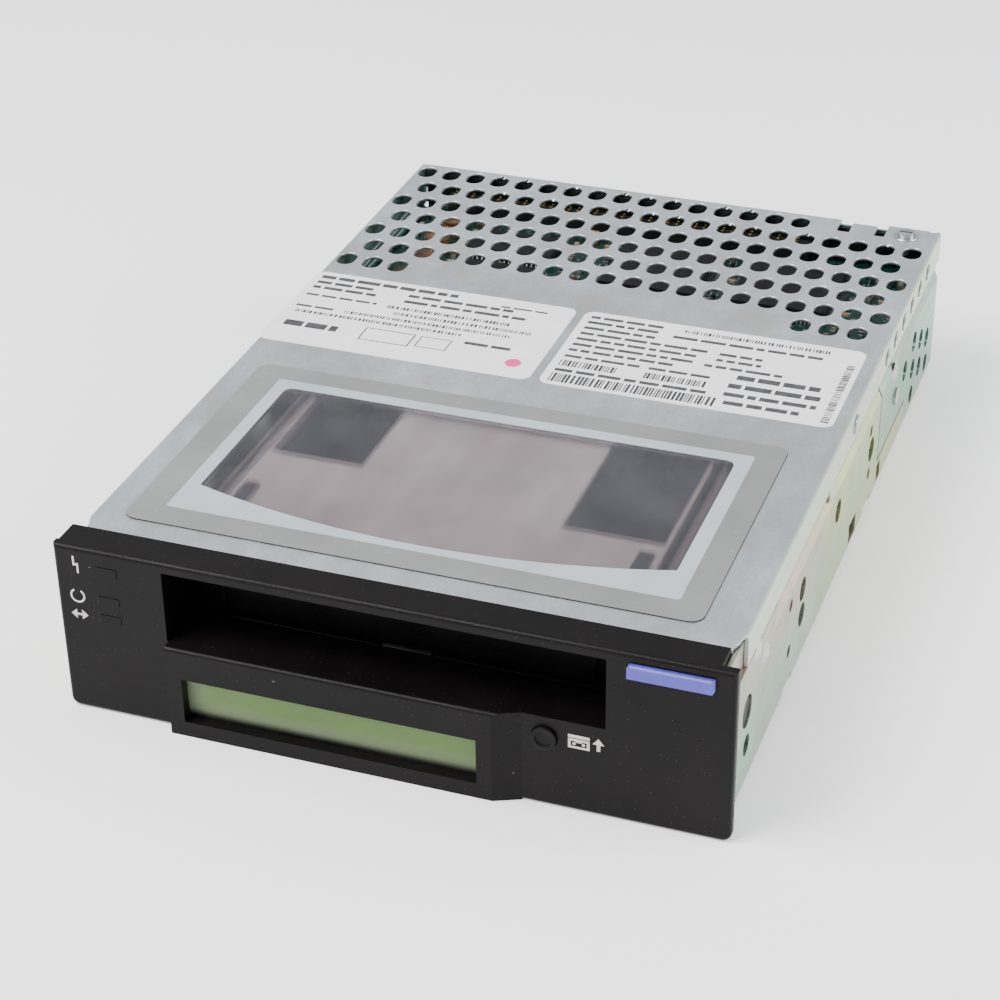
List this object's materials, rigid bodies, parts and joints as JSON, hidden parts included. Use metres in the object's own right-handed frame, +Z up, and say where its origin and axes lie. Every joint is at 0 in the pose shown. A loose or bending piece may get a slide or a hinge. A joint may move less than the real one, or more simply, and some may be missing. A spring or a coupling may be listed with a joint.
{
  "type": "data tape drive",
  "caption": "Half-height internal 8 mm helical-scan data tape drive with a character display, cartridge slot and vented zinc-plated case.",
  "frame": {"origin": "centre of the width, on the plane where the bezel meets the chassis, level with the underside of the chassis", "axes": "+X to the right seen from the front, +Y into the bay towards the connectors, +Z up"},
  "size_m": [0.1492, 0.2141, 0.0423],
  "materials": {
    "zinc_sheet": "zinc-plated sheet with a faint yellow and blue passivation",
    "cover_sheet": "bright zinc-plated sheet with fine dust",
    "dark_plastic": "fine moulded texture",
    "inner_plastic": "smooth moulded",
    "film": "frosted polyester film",
    "violet": "printed strip",
    "lens": "clear window over a green display",
    "display": "character display module",
    "light_pipe": "smoked clear plastic",
    "board": "green solder mask",
    "chip": "moulded package",
    "white_plastic": "ivory moulded",
    "steel": "ground or drawn",
    "screw": "zinc-plated",
    "loader_sheet": "galvanised sheet",
    "cast_deck": "die-cast, machined on top",
    "drum": "finely turned",
    "rubber": "plain",
    "gear_plastic": "natural acetal",
    "brass": "sintered",
    "flex": "amber film",
    "magnet": "pressed steel and ferrite"
  },
  "bodies": {
    "chassis": {"base_frame": "zinc_sheet", "rear_shield": "zinc_sheet", "top_cover": "cover_sheet", "window_film": "film", "front_bezel": "dark_plastic", "colour_strip": "violet", "display_window": "lens", "display_module": "display", "light_pipes": "light_pipe", "front_board": "board", "button_switch": "inner_plastic", "button_spring": "steel", "door_pin": "steel", "door_spring": "steel", "left_loader_plate": "loader_sheet", "right_loader_plate": "loader_sheet", "load_motor": "magnet", "deck_casting": "cast_deck", "deck_mounts": "rubber", "reel_bushes": "brass", "motor_stators": "magnet", "scanner_base": "drum", "thread_motor": "magnet", "deck_pins": "steel", "controller_board": "board", "board_components": "chip", "board_header": "white_plastic", "interface_board": "board", "interface_connector": "inner_plastic", "power_connector": "white_plastic", "jumper_block": "inner_plastic", "flat_cable": "flex", "board_posts": "steel", "inner_screws": "screw", "case_screws": "screw"},
    "door": {"cartridge_door": "inner_plastic"},
    "button": {"unload_button": "dark_plastic"},
    "cams": {"left_cam_plate": "loader_sheet", "right_cam_plate": "loader_sheet", "cam_cross_bar": "loader_sheet"},
    "basket": {"cartridge_basket": "loader_sheet", "basket_pins": "steel"},
    "load_gear": {"loader_gear": "gear_plastic"},
    "load_drive": {"load_pinion": "brass"},
    "supply_reel": {"supply_hub": "inner_plastic", "supply_rotor": "magnet"},
    "takeup_reel": {"takeup_hub": "inner_plastic", "takeup_rotor": "magnet"},
    "drum": {"scanner_drum": "drum", "scanner_rotor": "magnet"},
    "supply_ring": {"supply_loading_ring": "steel"},
    "takeup_ring": {"takeup_loading_ring": "steel"},
    "supply_roller": {"supply_guide_roller": "steel"},
    "takeup_roller": {"takeup_guide_roller": "steel"},
    "supply_gear": {"supply_ring_gear": "gear_plastic"},
    "takeup_gear": {"takeup_ring_gear": "gear_plastic"},
    "thread_drive": {"thread_pinion": "brass"},
    "tension": {"tension_arm": "steel"},
    "cleaner": {"cleaning_arm": "steel"},
    "cleaner_wheel": {"cleaning_wheel": "white_plastic"}
  },
  "joints": [
    {"name": "door_swing", "type": "hinge", "parent": "chassis", "child": "door", "pos_m": [-0.00065, 0.007, 0.0172], "axis": [1, 0, 0], "range_deg": [-86, 0], "stiffness_Nm_per_rad": 0.01, "springref_deg": 11.46},
    {"name": "button_press", "type": "slide", "parent": "chassis", "child": "button", "axis": [0, 1, 0], "range_m": [0, 0.0008], "stiffness_N_per_m": 200, "springref_m": -0.001, "deforming": ["button_spring"]},
    {"name": "cam_slide", "type": "slide", "parent": "chassis", "child": "cams", "axis": [0, 1, 0], "range_m": [0, 0.014]},
    {"name": "basket_lower", "type": "slide", "parent": "chassis", "child": "basket", "axis": [0, 0, -1], "range_m": [0, 0.0088]},
    {"name": "loader_gear_turn", "type": "hinge", "parent": "chassis", "child": "load_gear", "pos_m": [-0.06315, 0.096, 0.0129], "axis": [0, 0, 1], "range_deg": [0, 125.33]},
    {"name": "load_pinion_turn", "type": "hinge", "parent": "chassis", "child": "load_drive", "pos_m": [-0.06315, 0.0856, 0.0129], "axis": [0, 0, 1], "range_deg": [-200.54, 0]},
    {"name": "supply_reel_turn", "type": "hinge", "parent": "chassis", "child": "supply_reel", "pos_m": [-0.02375, 0.0425, 0.008], "axis": [0, 0, 1], "continuous": true},
    {"name": "takeup_reel_turn", "type": "hinge", "parent": "chassis", "child": "takeup_reel", "pos_m": [0.02245, 0.0425, 0.008], "axis": [0, 0, 1], "continuous": true},
    {"name": "drum_spin", "type": "hinge", "parent": "chassis", "child": "drum", "pos_m": [-0.00065, 0.09585, 0.01906], "axis": [0, 0.0854, 0.9963], "continuous": true},
    {"name": "supply_ring_turn", "type": "hinge", "parent": "chassis", "child": "supply_ring", "pos_m": [-0.00065, 0.095, 0.0084], "axis": [0, 0, 1], "range_deg": [-115, 0]},
    {"name": "takeup_ring_turn", "type": "hinge", "parent": "chassis", "child": "takeup_ring", "pos_m": [-0.00065, 0.095, 0.01], "axis": [0, 0, 1], "range_deg": [0, 115]},
    {"name": "supply_gear_turn", "type": "hinge", "parent": "chassis", "child": "supply_gear", "pos_m": [-0.00705, 0.13124, 0.01], "axis": [0, 0, 1], "range_deg": [0, 546.25]},
    {"name": "takeup_gear_turn", "type": "hinge", "parent": "chassis", "child": "takeup_gear", "pos_m": [0.00575, 0.13124, 0.01], "axis": [0, 0, 1], "range_deg": [-546.25, 0]},
    {"name": "thread_pinion_turn", "type": "hinge", "parent": "chassis", "child": "thread_drive", "pos_m": [-0.01606, 0.13644, 0.012], "axis": [0, 0, 1], "range_deg": [-874, 0]},
    {"name": "supply_roller_turn", "type": "hinge", "parent": "supply_ring", "child": "supply_roller", "pos_m": [-0.00893, 0.07226, 0.018], "axis": [0, 0, 1], "continuous": true},
    {"name": "takeup_roller_turn", "type": "hinge", "parent": "takeup_ring", "child": "takeup_roller", "pos_m": [0.00763, 0.07226, 0.018], "axis": [0, 0, 1], "continuous": true},
    {"name": "tension_swing", "type": "hinge", "parent": "chassis", "child": "tension", "pos_m": [-0.036, 0.06, 0.0086], "axis": [0, 0, 1], "range_deg": [-10, 6], "stiffness_Nm_per_rad": 0.01},
    {"name": "cleaner_swing", "type": "hinge", "parent": "chassis", "child": "cleaner", "pos_m": [0.022, 0.1245, 0.0147], "axis": [0, 0, 1], "range_deg": [0, 7], "stiffness_Nm_per_rad": 0.01, "springref_deg": -5.73},
    {"name": "cleaner_wheel_turn", "type": "hinge", "parent": "cleaner", "child": "cleaner_wheel", "pos_m": [0.003, 0.1222, 0.019], "axis": [0, 0, 1], "continuous": true}
  ],
  "couplings": [
    {"joint": "basket_lower", "follows": "cam_slide", "ratio": 0.62857},
    {"joint": "loader_gear_turn", "follows": "cam_slide", "rad_per_m": 156.25},
    {"joint": "load_pinion_turn", "follows": "cam_slide", "rad_per_m": -250},
    {"joint": "takeup_ring_turn", "follows": "supply_ring_turn", "ratio": -1},
    {"joint": "supply_gear_turn", "follows": "supply_ring_turn", "ratio": -4.75},
    {"joint": "takeup_gear_turn", "follows": "supply_ring_turn", "ratio": 4.75},
    {"joint": "thread_pinion_turn", "follows": "supply_ring_turn", "ratio": 7.6}
  ]
}
